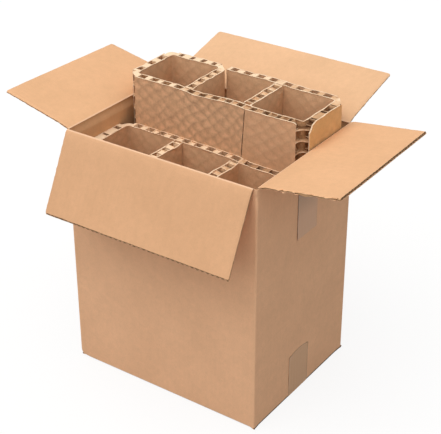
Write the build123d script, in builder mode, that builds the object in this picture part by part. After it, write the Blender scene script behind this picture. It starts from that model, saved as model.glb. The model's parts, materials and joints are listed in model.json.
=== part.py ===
"""Bottle shipping box: a corrugated carton with two honeycomb paperboard cell inserts.

Frame: +X along the long side, the long front wall faces -Y, +Z up.
The origin is the centre of the footprint, on the plane that the taped box stands on.
All sizes are in millimetres.
"""

import os
from math import cos, radians, sin, sqrt

from build123d import *

# Carton of single-wall corrugated board
box_length = 318.0
box_width = 244.0
box_height = 386.0
board = 4.0
corner_radius = 3.5
inner_corner_radius = 0.8
flap_length = 120.0
slot_half_width = 5.5
flap_corner_radius = 2.0
crease_gap = 0.3

# Closed bottom: long-wall flaps outside, short-wall flaps inside
bottom_seam = 1.0
bottom_flap_length = 120.0
layer_gap = 0.3
flap_end_recess = 1.0
minor_side_clearance = 1.5

# Glued joint at the rear left corner, pressed thinner than the board
joint_width = 35.0
joint_thickness = 3.0
joint_end_setback = 4.0
joint_bevel = 9.0

# Opened flaps, degrees above the horizontal
front_flap_angle = -58.0
back_flap_angle = 15.0
left_flap_angle = 11.5
right_flap_angle = 8.5

# Sealing tape
tape_width = 52.0
tape_thickness = 0.2
tape_inner_bend = 0.5
bottom_tape_rise = 71.0
bottom_tape_offset = -5.0
top_tape_length = 118.0
top_tape_drop = 5.0
top_tape_offset = 5.5

# Honeycomb paperboard
comb_board = 12.7
comb_liner = 1.0
fold_radius = 4.5
cell_pitch = 22.0
cell_rise = 20.5
cell_half_width = 7.5
cell_half_flat = 3.5
cell_half_height = 8.5

# Inserts: two alike, three cells each, of two folded strips each
insert_height = 329.0
insert_depth = 111.0
side_fit = 0.3
rear_fit = 0.3
insert_fit = 0.3
pad_fit = 1.0
strip_fit = 0.5
divider_end_gap = 1.0
rear_insert_lift = 77.0

inner_length = box_length - 2 * board
inner_width = box_width - 2 * board
underside = tape_thickness
wall_foot = underside + board + layer_gap
floor_top = wall_foot + board
rim = underside + box_height
rim_ridge = rim - crease_gap

pad_top = floor_top + comb_board
insert_half_length = inner_length / 2 - side_fit
rear_insert_back = inner_width / 2 - joint_thickness - rear_fit
rear_insert_face = rear_insert_back - insert_depth
front_insert_face = rear_insert_face - insert_fit
cell_length = (2 * insert_half_length - 4 * comb_board) / 3
divider_centre = (cell_length + comb_board) / 2

# The two strips butt where the second divider's folded liner leaves the wall's inner face
fold_outer_radius = fold_radius + comb_liner
fold_reach = sqrt(fold_outer_radius**2 - fold_radius**2)
strip_seam = divider_centre + comb_board / 2 + fold_radius - fold_reach


# The four upright walls as one ring, bevelled inward at the crease of the flaps
with BuildPart() as walls:
    with BuildSketch(Plane.XY.offset(wall_foot)):
        RectangleRounded(box_length, box_width, corner_radius)
        RectangleRounded(inner_length, inner_width, inner_corner_radius, mode=Mode.SUBTRACT)
    extrude(amount=rim_ridge - wall_foot)
    with BuildSketch(Plane.XY.offset(rim_ridge - board)):
        RectangleRounded(inner_length, inner_width, inner_corner_radius)
    with BuildSketch(Plane.XY.offset(rim_ridge)):
        RectangleRounded(box_length, box_width, corner_radius)
    loft(mode=Mode.SUBTRACT)


def outer_bottom_flap(side):
    """The flap under a long wall, folded at the wall's foot and reaching the middle seam."""
    outer = side * box_width / 2
    inner = side * (box_width / 2 - board)
    seam = side * bottom_seam / 2
    with BuildPart() as flap:
        with BuildSketch(Plane.YZ) as profile:
            with BuildLine():
                Polyline(
                    (outer, underside),
                    (seam, underside),
                    (seam, underside + board),
                    (inner, underside + board),
                    (inner, floor_top),
                    (outer, floor_top),
                    close=True,
                )
            make_face()
            foot = profile.vertices().sort_by_distance((outer, underside))[0]
            fillet(foot, radius=corner_radius)
        extrude(amount=box_length / 2 - flap_end_recess, both=True)
    return flap.part


def inner_bottom_flap(side):
    """The flap of a short wall, folded in above the outer flaps."""
    start = side * (box_length / 2 - board / 2)
    end = side * (box_length / 2 - bottom_flap_length)
    width = inner_width - 2 * minor_side_clearance
    with BuildPart() as flap:
        with BuildSketch(Plane.XY.offset(wall_foot)):
            with Locations(((start + end) / 2, 0)):
                Rectangle(abs(start - end), width)
        extrude(amount=board)
    return flap.part


# The tab that runs on from the left wall and is glued inside the rear wall
joint_low = pad_top + joint_end_setback
joint_high = rim_ridge - board - joint_end_setback
joint_root = -inner_length / 2
with BuildPart() as glued_joint:
    with BuildSketch(Plane.XZ.offset(-inner_width / 2)):
        with BuildLine():
            Polyline(
                (joint_root, joint_low),
                (joint_root + joint_width, joint_low + joint_bevel),
                (joint_root + joint_width, joint_high - joint_bevel),
                (joint_root, joint_high),
                close=True,
            )
        make_face()
    extrude(amount=joint_thickness)


# The carton, one folded sheet without its top flaps
with BuildPart() as carton_body:
    add(walls.part)
    for side in (-1, 1):
        add(outer_bottom_flap(side))
        add(inner_bottom_flap(side))
    add(glued_joint.part)


def top_flap(pivot, outward, span, angle):
    """One top flap about its crease, its root bevelled so that it can fold inward."""
    lean = radians(angle)
    along = outward * cos(lean) + Vector(0, 0, sin(lean))
    inner_side = outward * -sin(lean) + Vector(0, 0, cos(lean))
    section = Plane(origin=pivot, x_dir=along, z_dir=along.cross(inner_side))
    with BuildPart() as flap:
        with BuildSketch(section):
            with BuildLine():
                Polyline(
                    (0, 0),
                    (flap_length, 0),
                    (flap_length, board),
                    (board, board),
                    close=True,
                )
            make_face()
        extrude(amount=span / 2, both=True)
        tips = flap.edges().filter_by(lambda e: abs(e.length - board) < board / 100)
        free_tips = tips.filter_by(
            lambda e: abs((e.center() - pivot).dot(along) - flap_length) < board
        ).filter_by(lambda e: abs(abs(e.tangent_at(0).dot(inner_side)) - 1) < board / 100)
        fillet(free_tips, radius=flap_corner_radius)
    return flap


long_flap_span = box_length - 2 * slot_half_width
short_flap_span = box_width - 2 * slot_half_width

flap_front = top_flap(
    Vector(0, -box_width / 2, rim), Vector(0, -1, 0), long_flap_span, front_flap_angle
)
flap_back = top_flap(
    Vector(0, box_width / 2, rim), Vector(0, 1, 0), long_flap_span, back_flap_angle
)
flap_left = top_flap(
    Vector(-box_length / 2, 0, rim), Vector(-1, 0, 0), short_flap_span, left_flap_angle
)
flap_right = top_flap(
    Vector(box_length / 2, 0, rim), Vector(1, 0, 0), short_flap_span, right_flap_angle
)


# Tape over the bottom seam and up both short walls, one length
with BuildPart() as bottom_tape:
    with BuildSketch(Plane.XZ.offset(-bottom_tape_offset)) as wrap:
        with Locations((0, (bottom_tape_rise + tape_thickness) / 2)):
            Rectangle(box_length + 2 * tape_thickness, bottom_tape_rise + tape_thickness)
        fillet(wrap.vertices().group_by(Axis.Y)[0], radius=tape_inner_bend + tape_thickness)
    extrude(amount=tape_width / 2, both=True)
    with BuildSketch(Plane.XZ.offset(-bottom_tape_offset)) as hollow:
        with Locations((0, underside + bottom_tape_rise / 2)):
            Rectangle(box_length, bottom_tape_rise)
        fillet(hollow.vertices().group_by(Axis.Y)[0], radius=tape_inner_bend)
    extrude(amount=tape_width / 2, both=True, mode=Mode.SUBTRACT)


def top_tape(side):
    """What is left of the top tape on a short wall, slit at the rim."""
    height = rim - top_tape_drop - top_tape_length / 2
    with BuildPart() as tape:
        with BuildSketch(Plane.YZ.offset(side * box_length / 2)):
            with Locations((top_tape_offset, height)):
                Rectangle(tape_width, top_tape_length)
        extrude(amount=side * tape_thickness)
    return tape


top_tape_right = top_tape(1)
top_tape_left = top_tape(-1)


# Honeycomb pad on the carton's floor
with BuildPart() as bottom_pad:
    with BuildSketch(Plane.XY.offset(floor_top)):
        Rectangle(inner_length - 2 * pad_fit, inner_width - 2 * pad_fit)
    extrude(amount=comb_board)


class Panel:
    """A flat stretch of a folded strip, from start to end along X or Y."""

    def __init__(self, axis, start, end, middle, open_ends=()):
        self.axis = axis
        self.low = min(start, end)
        self.high = max(start, end)
        self.middle = middle
        self.open_ends = open_ends

    def liner_centres(self):
        """The middles of the panel's two liners in the plan."""
        along = (self.low + self.high) / 2
        offset = (comb_board - comb_liner) / 2
        across = (self.middle - offset, self.middle + offset)
        return [(along, y) if self.axis == "x" else (y, along) for y in across]

    def liner_size(self):
        """A liner's length and thickness, in X and Y order."""
        length = self.high - self.low
        return (length, comb_liner) if self.axis == "x" else (comb_liner, length)

    def middle_plane(self, foot):
        """The plane halfway through the board, its x along the panel, its y up."""
        if self.axis == "x":
            return Plane(origin=(0, self.middle, foot), x_dir=(1, 0, 0), z_dir=(0, -1, 0))
        return Plane(origin=(self.middle, 0, foot), x_dir=(0, 1, 0), z_dir=(1, 0, 0))

    def edge_cells(self, height, into):
        """Points along the cut at this height, left to right, into each cell it opens."""
        count = int((self.high - self.low - 2 * cell_half_width) // cell_pitch) + 1
        first = (self.low + self.high - (count - 1) * cell_pitch) / 2
        points = [(self.low, height)]
        for step in range(count):
            centre = first + step * cell_pitch
            points += [
                (centre - cell_half_width, height),
                (centre - cell_half_flat, height + into * cell_half_height),
                (centre + cell_half_flat, height + into * cell_half_height),
                (centre + cell_half_width, height),
            ]
        return points + [(self.high, height)]

    def end_cells(self, end, into):
        """Points up an end of the panel, into each cell that the cut there opens."""
        if end not in self.open_ends:
            return []
        rows = int((insert_height - 4 * cell_half_height) // cell_rise) + 1
        lowest = (insert_height - (rows - 1) * cell_rise) / 2
        points = []
        for row in range(rows):
            centre = lowest + row * cell_rise
            points += [
                (end, centre - cell_half_height),
                (end + into * cell_half_flat, centre - cell_half_height),
                (end + into * cell_half_width, centre),
                (end + into * cell_half_flat, centre + cell_half_height),
                (end, centre + cell_half_height),
            ]
        return points

    def core_outline(self):
        """The honeycomb core's outline, with the half-cells that its edges cut open."""
        top = self.edge_cells(insert_height, -1)
        left_end = self.end_cells(self.low, 1)
        return self.edge_cells(0, 1) + self.end_cells(self.high, -1) + top[::-1] + left_end[::-1]


def folded_liner(x, y, toward_x, toward_y):
    """The inner liner carried round a fold, bulging toward the open notch."""
    slant = cos(radians(45))
    outer_slant = fold_outer_radius * slant
    with BuildSketch() as liner:
        with BuildLine():
            start = Line((x + toward_x * fold_radius, y), (x + toward_x * fold_outer_radius, y))
            outside = ThreePointArc(
                start @ 1,
                (x + toward_x * outer_slant, y + toward_y * outer_slant),
                (x, y + toward_y * fold_outer_radius),
            )
            end = Line(outside @ 1, (x, y + toward_y * fold_radius))
            ThreePointArc(
                end @ 1,
                (x + toward_x * fold_radius * slant, y + toward_y * fold_radius * slant),
                start @ 0,
            )
        make_face()
    return liner.sketch


def strip(panels, folds, foot):
    """A folded strip: its liners in the plan, then the core between them, panel by panel."""
    with BuildPart() as folded:
        with BuildSketch(Plane.XY.offset(foot)):
            for panel in panels:
                with Locations(*panel.liner_centres()):
                    Rectangle(*panel.liner_size())
            for fold in folds:
                add(folded_liner(*fold))
        extrude(amount=insert_height)
        for panel in panels:
            with BuildSketch(panel.middle_plane(foot)):
                with BuildLine():
                    Polyline(*panel.core_outline(), close=True)
                make_face()
            extrude(amount=comb_board / 2 - comb_liner, both=True)
    return folded


def left_strip(face, side, foot):
    """Long wall over two cells, left end wall, one-cell wall and the first divider.

    The long wall lies at face, and side says which way the insert reaches from it.
    """
    notch = comb_board + fold_radius
    left = -insert_half_length
    long_wall = face + side * comb_board / 2
    far_wall = face + side * (insert_depth - comb_board / 2)
    near_fold = face + side * notch
    far_fold = face + side * (insert_depth - notch)
    divider_left = -divider_centre - comb_board / 2
    divider_free_end = face + side * (comb_board + divider_end_gap)
    panels = [
        Panel("x", left + notch, strip_seam - strip_fit / 2, long_wall, (left + notch,)),
        Panel("y", near_fold, far_fold, left + comb_board / 2, (near_fold, far_fold)),
        Panel("x", left + notch, divider_left - fold_radius, far_wall, (left + notch,)),
        Panel("y", divider_free_end, far_fold, -divider_centre),
    ]
    folds = [
        (left + notch, near_fold, -1, -side),
        (left + notch, far_fold, -1, side),
        (divider_left - fold_radius, far_fold, 1, side),
    ]
    return strip(panels, folds, foot)


def right_strip(face, side, foot):
    """One-cell wall beside the long wall, right end wall, far wall and the second divider."""
    notch = comb_board + fold_radius
    right = insert_half_length
    face_wall = face + side * comb_board / 2
    far_wall = face + side * (insert_depth - comb_board / 2)
    near_fold = face + side * notch
    far_fold = face + side * (insert_depth - notch)
    divider_right = divider_centre + comb_board / 2
    divider_free_end = face + side * (insert_depth - comb_board - divider_end_gap)
    far_wall_end = -divider_centre + comb_board / 2
    panels = [
        Panel("x", strip_seam + strip_fit / 2, right - notch, face_wall, (right - notch,)),
        Panel("y", near_fold, far_fold, right - comb_board / 2, (near_fold, far_fold)),
        Panel("x", far_wall_end, right - notch, far_wall, (right - notch,)),
        Panel("y", near_fold, divider_free_end, divider_centre),
    ]
    folds = [
        (divider_right + fold_radius, near_fold, -1, -side),
        (right - notch, near_fold, 1, -side),
        (right - notch, far_fold, 1, side),
    ]
    return strip(panels, folds, foot)


rear_insert_left_strip = left_strip(rear_insert_face, 1, pad_top + rear_insert_lift)
rear_insert_right_strip = right_strip(rear_insert_face, 1, pad_top + rear_insert_lift)
front_insert_left_strip = left_strip(front_insert_face, -1, pad_top)
front_insert_right_strip = right_strip(front_insert_face, -1, pad_top)


pieces = {
    "carton_body": carton_body,
    "flap_front": flap_front,
    "flap_back": flap_back,
    "flap_left": flap_left,
    "flap_right": flap_right,
    "bottom_tape": bottom_tape,
    "top_tape_right": top_tape_right,
    "top_tape_left": top_tape_left,
    "bottom_pad": bottom_pad,
    "rear_insert_left_strip": rear_insert_left_strip,
    "rear_insert_right_strip": rear_insert_right_strip,
    "front_insert_left_strip": front_insert_left_strip,
    "front_insert_right_strip": front_insert_right_strip,
}

os.makedirs("parts", exist_ok=True)
for name, piece in pieces.items():
    piece.part.label = name
    export_step(piece.part, f"parts/{name}.step")
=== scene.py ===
import json
from math import ceil, cos, exp, hypot, pi, radians, sin

import bpy
from mathutils import Matrix, Vector, noise


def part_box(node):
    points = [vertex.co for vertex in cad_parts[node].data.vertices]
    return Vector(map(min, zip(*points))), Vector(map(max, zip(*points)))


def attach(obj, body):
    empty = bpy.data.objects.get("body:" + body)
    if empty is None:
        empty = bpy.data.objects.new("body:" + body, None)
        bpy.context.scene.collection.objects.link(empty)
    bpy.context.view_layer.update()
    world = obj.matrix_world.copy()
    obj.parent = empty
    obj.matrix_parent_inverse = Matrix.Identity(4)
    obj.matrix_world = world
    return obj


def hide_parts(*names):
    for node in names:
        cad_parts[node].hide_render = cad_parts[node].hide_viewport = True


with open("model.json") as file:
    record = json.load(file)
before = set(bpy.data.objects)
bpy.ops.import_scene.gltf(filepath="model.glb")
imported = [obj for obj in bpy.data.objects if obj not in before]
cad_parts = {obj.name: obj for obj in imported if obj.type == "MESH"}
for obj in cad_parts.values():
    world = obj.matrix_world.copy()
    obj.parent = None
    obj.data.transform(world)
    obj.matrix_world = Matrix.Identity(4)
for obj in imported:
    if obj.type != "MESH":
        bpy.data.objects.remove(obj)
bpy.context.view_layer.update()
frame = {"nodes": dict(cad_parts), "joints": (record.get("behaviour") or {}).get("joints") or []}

# Without a seed the vector noise starts from the clock, and each run frays the cuts in its own way
noise_seed = 22
noise.seed_set(noise_seed)

mm = 0.001

# Camera at the photograph's viewing angle, in metres, degrees and pixels of its 441 by 434 frame
camera_place = Vector((0.89442, -1.25610, 1.10863))
camera_azimuth = 35.018
camera_elevation = 29.356
camera_roll = -0.138
frame_width = 441.0
frame_height = 434.0
focal_pixels = 1208.8
optical_centre = (219.01, 215.98)
sensor_width = 36.0

# Light, as shares of the level at which a colour renders as it is written
sky_horizon = 0.38
sky_zenith = 0.80
sky_front = 0.50
sun_level = 0.43
sun_direction = Vector((-0.12, -0.30, 0.93))
sun_softness = 60.0
floor_reach = 8.0
floor_white = 0.98
floor_bounce = 0.33
floor_glow = 0.85

# Honeycomb board, its cut liners swollen to burr times their thickness
comb_board = 12.7 * mm
half_comb = comb_board / 2
comb_liner = 1.0 * mm
burr = 2.0
fold_radius = 4.5 * mm
core_paper = 0.6 * mm
cell_half_pitch = 11.0 * mm
cell_half_rise = 9.0 * mm
cell_drift = 1.6 * mm
level_drift = 1.3 * mm
flat_variation = 0.35
shelf_hollow = 0.26
shelf_arch = 2.4 * mm
shelf_scatter = 4.0 * mm
shelf_droop = 2.5 * mm
shelf_flare = 1.7
ear_height = 28.0 * mm
ear_margin = 3.0 * mm
divider_end_gap = 1.0 * mm
seam_gap = 0.5 * mm
strip_gap = 0.5 * mm
cut_wave = 0.8 * mm
cut_fray = 0.8 * mm

# Corrugated board
board = 4.0 * mm
board_liner = 0.45 * mm
flute_pitch = 7.9 * mm
flute_paper = 0.28 * mm
fold_bead = 0.5 * mm
crease_board = 0.8 * mm
crease_reach = 15.0 * mm
crease_gap = 0.3 * mm
pinch = 0.62
flap_length = 120.0 * mm
flap_bow = 1.1 * mm
tip_radius = 2.0 * mm
tip_fray = 0.5 * mm
rim = 386.2 * mm
corner_radius = 3.6 * mm
wall_foot = 4.5 * mm
floor_top = 8.5 * mm
underside = 0.2 * mm
flap_end_recess = 0.4 * mm
foot_pinch = 1.7 * mm
wall_swell = 0.5 * mm
wall_bow = 1.0 * mm
fold_squareness = 0.5
bottom_flap_length = 120.0 * mm
minor_side_clearance = 1.5 * mm
crushed_corner_reach = 10.0 * mm
crushed_corner_depth = 3.0 * mm
tab_reach = 35.0 * mm
tab_bevel = 9.0 * mm
tab_thickness = 3.0 * mm
tab_clearance = 4.0 * mm

# Tape
tape_width = 52.0 * mm
tape_film_thickness = 0.2 * mm
tape_bend = 1.0 * mm
bottom_tape_rise = 70.0 * mm
tape_end_arch = 3.5 * mm
bottom_tape_middle = -5.0 * mm
top_tape_middle = 5.5 * mm
clear_tape_from = 335.0 * mm

# Colours that more than one material has
outer_kraft = ((0.89, 0.518, 0.303), (0.83, 0.48, 0.278))
# Pale kraft for the painted highlight along the flaps' creases
crease_highlight_kraft = (0.93, 0.65, 0.44)
comb_tan = (0.64, 0.38, 0.205)
# comb_brown is the dark of the pad's mottle and the painted shade in the honeycomb's cells
comb_brown = (0.12, 0.048, 0.018)
# Dark brown for the paper's flecks and for the painted shadow along the tape's edges
grime_and_shade = (0.16, 0.085, 0.04)

# Places in the pieces' lists of materials
inside_slot = 2
foot_shadow_slot = 3
core_slot = 2
core_cut_slot = 3
outside_slot = 4
end_wall_slot = 4
glued_shaded_slot = 5
cell_slot = 6


def run_lengths(path, start=0.0):
    """How far along a path each of its points lies."""
    runs = [start]
    for (ax, ay), (bx, by) in zip(path, path[1:]):
        runs.append(runs[-1] + hypot(bx - ax, by - ay))
    return runs


def mitred_normals(path, closed):
    """Left-hand normals at the points of a path, lengthened at its bends."""
    count = len(path)
    sides = []
    for (ax, ay), (bx, by) in zip(path, path[1:] + path[:1]):
        run = hypot(bx - ax, by - ay) or 1.0
        sides.append(((ay - by) / run, (bx - ax) / run))
    normals = []
    for step in range(count):
        before = sides[step - 1] if closed or step > 0 else sides[step]
        after = sides[step] if closed or step < count - 1 else sides[step - 1]
        nx, ny = before[0] + after[0], before[1] + after[1]
        size = max(nx * before[0] + ny * before[1], 0.5)
        normals.append((nx / size, ny / size))
    return normals


def fade(value, low, high):
    """0 at low, 1 at high, smooth between them, in either order."""
    share = min(1.0, max(0.0, (value - low) / (high - low)))
    return share * share * (3 - 2 * share)


def steps_between(low, high, longest):
    """Evenly spaced values from low to high."""
    count = max(1, ceil((high - low) / longest - 1e-6))
    return [low + (high - low) * step / count for step in range(count + 1)]


def dense_ends(low, high, insets, first, longest):
    """Values from low to high, closer together near the ends. The insets and steps are in mm."""
    near = [low + inset * mm for inset in insets]
    far = [high - inset * mm for inset in insets[::-1]]
    return near + steps_between(low + first * mm, high - first * mm, longest * mm) + far


def arc(centre, radius, start, end, pieces=6):
    """Points round a centre, from one direction to another in degrees."""
    angles = [radians(start + (end - start) * step / pieces) for step in range(pieces + 1)]
    return [(centre[0] + radius * cos(a), centre[1] + radius * sin(a)) for a in angles]


def line(start, end, longest=9 * mm):
    """Points from start to end, without the start itself."""
    pieces = max(1, ceil(hypot(end[0] - start[0], end[1] - start[1]) / longest))
    shares = [step / pieces for step in range(1, pieces + 1)]
    return [tuple(a + (b - a) * share for a, b in zip(start, end)) for share in shares]


def random_share(first, second, third=0):
    """A repeatable number from -1 to 1 for whole-number keys."""
    seed = Vector((first, second, third)) * 5.016 + Vector((1.15, 1.15, 1.15))
    return noise.noise(seed)


class Paper:
    """Collects thin folded sheets into one closed mesh that rides on a body."""

    def __init__(self, name, warp=lambda point: point):
        self.name = name
        self.warp = warp
        self.points = []
        self.faces = []

    def sheet(
        self, path, widths, thickness, place, face_slot=0, edge_slot=1, back_slot=None,
        closed=False, start=0.0, flare=1.0,
    ):
        """A sheet that follows a path of (p, q) points and is swept through the widths.

        place turns (p, q, width) into a point in space. The last width is flare times as thick.
        face_slot is for the side on the left of the path, back_slot for the other.
        """
        count = len(path)
        normals = mitred_normals(path, closed)
        runs = run_lengths(path + path[:1], start)
        base = len(self.points)
        for width in widths:
            swell = flare if width == widths[-1] else 1.0
            for side in (swell * thickness / 2, -swell * thickness / 2):
                for (p, q), (out_p, out_q) in zip(path, normals):
                    self.points.append(self.warp(place(p + side * out_p, q + side * out_q, width)))

        def add(keys, slot, turn=1):
            """A face between points given by their width, their step along the path and their side."""
            corners = [base + (2 * row + side) * count + step % count for row, step, side in keys]
            flat_map = [(runs[step], widths[row]) for row, step, _ in keys]
            self.faces.append((corners[::turn], flat_map[::turn], slot))

        last = len(widths) - 1
        steps = range(count if closed else count - 1)
        for row in range(last):
            for step in steps:
                square = [(row, step), (row, step + 1), (row + 1, step + 1), (row + 1, step)]
                add([(*key, 0) for key in square], face_slot)
                add([(*key, 1) for key in square], face_slot if back_slot is None else back_slot, -1)
        for row, turn in ((0, 1), (last, -1)):
            for step in steps:
                ring = [(row, step, 1), (row, step + 1, 1), (row, step + 1, 0), (row, step, 0)]
                add(ring, edge_slot, turn)
        ends = () if closed else ((0, 1), (count - 1, -1))
        for step, turn in ends:
            for row in range(last):
                ring = [(row, step, 0), (row + 1, step, 0), (row + 1, step, 1), (row, step, 1)]
                add(ring, edge_slot, turn)

    def finish(self, materials, body, slot):
        """Makes the mesh and its object, which stands for the CAD node of the same name."""
        corners, flat_maps, slots = zip(*self.faces)
        mesh = bpy.data.meshes.new(self.name)
        mesh.from_pydata(self.points, [], corners)
        flat = mesh.uv_layers.new(name="flat")
        flat.data.foreach_set("uv", [value for pairs in flat_maps for pair in pairs for value in pair])
        mesh.polygons.foreach_set("material_index", slots)
        for material in materials:
            mesh.materials.append(material)
        mesh.update()
        piece = bpy.data.objects.new(self.name, mesh)
        bpy.context.scene.collection.objects.link(piece)
        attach(piece, body)
        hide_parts(self.name)


# Honeycomb core


def clipped(path, low, high):
    """The runs of a (u, z) path whose z lies from low to high."""
    runs = [[]]
    for (ua, za), (ub, zb) in zip(path, path[1:]):
        if max(za, zb) <= low or min(za, zb) >= high:
            runs.append([])
            continue
        ends = []
        for u, z in ((ua, za), (ub, zb)):
            edge = min(max(z, low), high)
            if z != edge:
                u = ua + (ub - ua) * (edge - za) / (zb - za)
            ends.append((u, edge))
        if runs[-1][-1:] != ends[:1]:
            runs.append(ends[:1])
        runs[-1].append(ends[1])
    return [run for run in runs if run]


def flat_depth(first, middle, last, share):
    """How far the first glued flats lie under the cut, along a panel."""
    return first + (last - first) * share + 4 * (middle - (first + last) / 2) * share * (1 - share)


def honeycomb(paper, low, high, height, cells, seed, place):
    """Zigzag paper ribbons, glued to each other at their flats, between the liners of a panel.

    cells are the depths of the first flats under the cut at the panel's two ends and middle,
    how far every other level leans along the panel, and how long its flats are.
    """
    first_depth, middle_depth, last_depth, lean, flat_length = cells
    columns = 2 * max(1, round((high - low) / (2 * cell_half_pitch)))
    pitch = (high - low) / columns
    half_depth = half_comb - comb_liner
    for ribbon in range(-1, ceil(height / cell_half_rise) + 1):
        path = []
        for column in range(columns + 1):
            share = column / columns
            upper = (column + ribbon) % 2 == 0
            level = ribbon if upper else ribbon + 1
            odd = level % 2
            middle = low + pitch * column + cell_drift * random_share(column, level, seed)
            middle += lean * odd * (0 < column < columns)
            flat = flat_length * (1 - flat_variation * odd)
            flat *= 1 + flat_variation * random_share(level, column, seed + 7)
            z = height - flat_depth(first_depth, middle_depth, last_depth, share) - level * cell_half_rise
            z += level_drift * random_share(seed, column, level)
            z += -core_paper / 2 if upper else core_paper / 2
            path.append((max(low, middle - flat / 2), z))
            path.append((min(high, middle + flat / 2), z))
        for run in clipped(path, 0.0, height):
            paper.sheet(run, [-half_depth, half_depth], core_paper, place, core_slot, core_cut_slot)


class Panel:
    """A flat stretch of a folded strip along X or Y, with its middle line across the board.

    outer is the side that its outer liner is on, reach how far that liner runs past each end, and
    ears how far its top corners droop.
    """

    def __init__(
        self, axis, start, end, middle, cells, outer, reach=(0.0, 0.0), ears=(0.0, 0.0), slot=0,
    ):
        turn = 1 if start < end else -1
        low_reach, high_reach = reach[::turn]
        self.axis = axis
        self.low, self.high = (start, end)[::turn]
        self.liner_ends = (self.low - low_reach, self.high + high_reach)
        self.middle = middle
        self.cells = cells
        self.outer = outer
        self.ears = ears[::turn]
        self.slot = slot

    def flat(self, along, across):
        """The (x, y) of a point along and across the panel."""
        return (along, across) if self.axis == "x" else (across, along)

    def add(self, paper, insert, seed):
        """The outer liner, its top corners rounded off where the board is cut for a fold, and the core."""
        low, high = self.liner_ends
        low_ear, high_ear = self.ears
        liner_line = self.middle + self.outer * (comb_board - comb_liner) / 2
        path = [self.flat(u, liner_line) for u in dense_ends(low, high, (0, 1, 2.5, 4.5), 8, 9)]

        def place_liner(x, y, z):
            u, _ = self.flat(x, y)
            near_top = fade(insert.height - z, ear_height, 0.0)
            droop = low_ear * fade(u, low + (ear_margin + low_ear), low) ** 2
            droop += high_ear * fade(u, high - (ear_margin + high_ear), high) ** 2
            return Vector((x, y, insert.foot + z - droop * near_top))

        def place_core(u, z, w):
            return Vector((*self.flat(u, self.middle + w), insert.foot + z))

        paper.sheet(
            path, insert.rows, comb_liner, place_liner, self.slot, start=self.low, flare=burr,
        )
        honeycomb(paper, self.low, self.high, insert.height, self.cells, seed, place_core)


# Inserts

liner_row_depths = [0, 1.5, 3.5, 6, 9.5, 14, 20, 28, 38, 50, 65, 82, 105, 140, 190, 250]


class Insert:
    """Where an insert's walls, dividers and folds lie, taken from its two strips in the frame."""

    def __init__(self, row, side):
        left_low, left_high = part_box(f"{row}_insert_left_strip")
        right_low, right_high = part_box(f"{row}_insert_right_strip")
        self.row = row
        self.side = side
        self.left = left_low.x
        self.right = right_high.x
        self.left_butt = left_high.x
        self.foot = left_low.z
        self.height = left_high.z - left_low.z
        self.top = self.foot + self.height
        self.depth = left_high.y - left_low.y
        self.face = left_low.y if side > 0 else left_high.y
        self.divider = half_comb - right_low.x
        notch = comb_board + fold_radius
        self.left_fold = self.left + notch
        self.right_fold = self.right - notch
        self.near_fold = self.inward(notch)
        self.far_fold = self.inward(self.depth - notch)
        depths = [depth * mm for depth in liner_row_depths if depth * mm < self.height]
        self.rows = [0.0] + [self.height - depth for depth in depths[::-1]]

    def inward(self, distance):
        """The y that lies so far behind the insert's face."""
        return self.face + self.side * distance


def left_strip(insert, cells):
    """Long wall over two cells, left end wall, one-cell wall and the first divider.

    Like the next function, it gives the strip's panels, its folds (place, and direction from and
    to), the ends of its inner liner, and how deep the first shelf lies at each fold.
    """
    wall, end_wall, far_wall, divider = cells
    corner, near, far = insert.left_fold, insert.near_fold, insert.far_fold
    divider_left = -insert.divider - half_comb
    fold_x = divider_left - fold_radius
    free_end = insert.inward(comb_board + divider_end_gap)
    panels = [
        Panel(
            "x", corner, insert.left_butt, insert.inward(half_comb), wall, -insert.side,
            reach=(0.0, -seam_gap), ears=(2 * mm, 0.0),
        ),
        Panel("y", near, far, insert.left + half_comb, end_wall, -1),
        Panel("x", corner, fold_x, insert.inward(insert.depth - half_comb), far_wall, insert.side),
        Panel("y", free_end, far, -insert.divider, divider, 1, slot=cell_slot),
    ]
    folds = [(corner, near, -90, -180), (corner, far, 180, 90), (fold_x, far, 90, 0)]
    start = (insert.left_butt, insert.inward(comb_board - comb_liner / 2))
    end = (divider_left + comb_liner / 2, free_end)
    return panels, folds, (start, end), (wall[0], end_wall[2], far_wall[2])


def right_strip(insert, cells):
    """The second divider, one-cell wall beside the long wall, right end wall and far wall."""
    wall, end_wall, far_wall, divider = cells
    corner, near, far = insert.right_fold, insert.near_fold, insert.far_fold
    divider_right = insert.divider + half_comb
    fold_x = divider_right + fold_radius
    free_end = insert.inward(insert.depth - comb_board - divider_end_gap)
    far_end = -insert.divider + half_comb
    panels = [
        Panel(
            "x", insert.left_butt + strip_gap, corner, insert.inward(half_comb), wall, -insert.side,
            reach=(-seam_gap, 0.0), ears=(0.0, 1.5 * mm),
        ),
        Panel(
            "y", near, far, insert.right - half_comb, end_wall, 1,
            reach=(9.5 * mm, 0.0), ears=(13 * mm, 3 * mm), slot=end_wall_slot,
        ),
        Panel("x", far_end, corner, insert.inward(insert.depth - half_comb), far_wall, insert.side),
        Panel("y", near, free_end, insert.divider, divider, -1, slot=cell_slot),
    ]
    folds = [(fold_x, near, -180, -90), (corner, near, -90, 0), (corner, far, 0, 90)]
    start = (divider_right - comb_liner / 2, free_end)
    end = (far_end, insert.inward(insert.depth - comb_board + comb_liner / 2))
    return panels, folds, (start, end), (None, wall[2], end_wall[2])


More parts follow.
